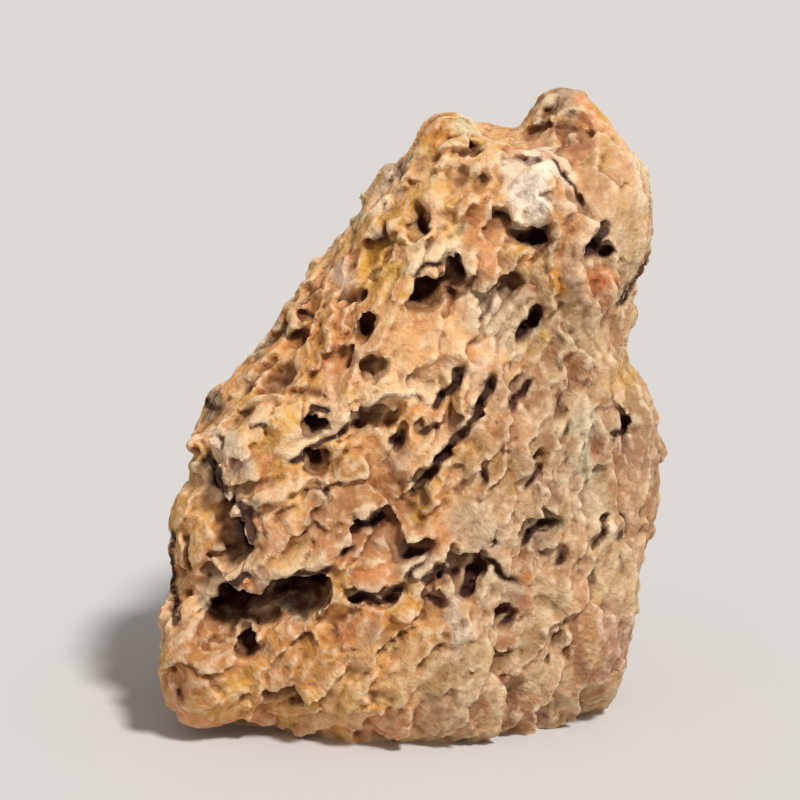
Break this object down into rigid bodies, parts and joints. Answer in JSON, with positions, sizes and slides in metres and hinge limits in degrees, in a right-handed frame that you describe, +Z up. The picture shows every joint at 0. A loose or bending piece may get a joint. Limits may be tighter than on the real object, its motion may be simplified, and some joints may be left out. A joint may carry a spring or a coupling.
{
  "type": "dragon stone",
  "caption": "Upright fin-shaped piece of pitted, weathered clay rock with a flat underside, for setting out a rock garden or a tank.",
  "frame": {"origin": "middle of the flat underside's level, at the bottom centre of the bounding box", "axes": "+Z up, along the stone's height; the side that the picture shows faces -Y and +X is to its right"},
  "size_m": [0.2144, 0.1594, 0.2629],
  "materials": {
    "clay_stone": "matt, water-worn"
  },
  "bodies": {
    "root": {"dragon_stone": "clay_stone"}
  },
  "joints": []
}
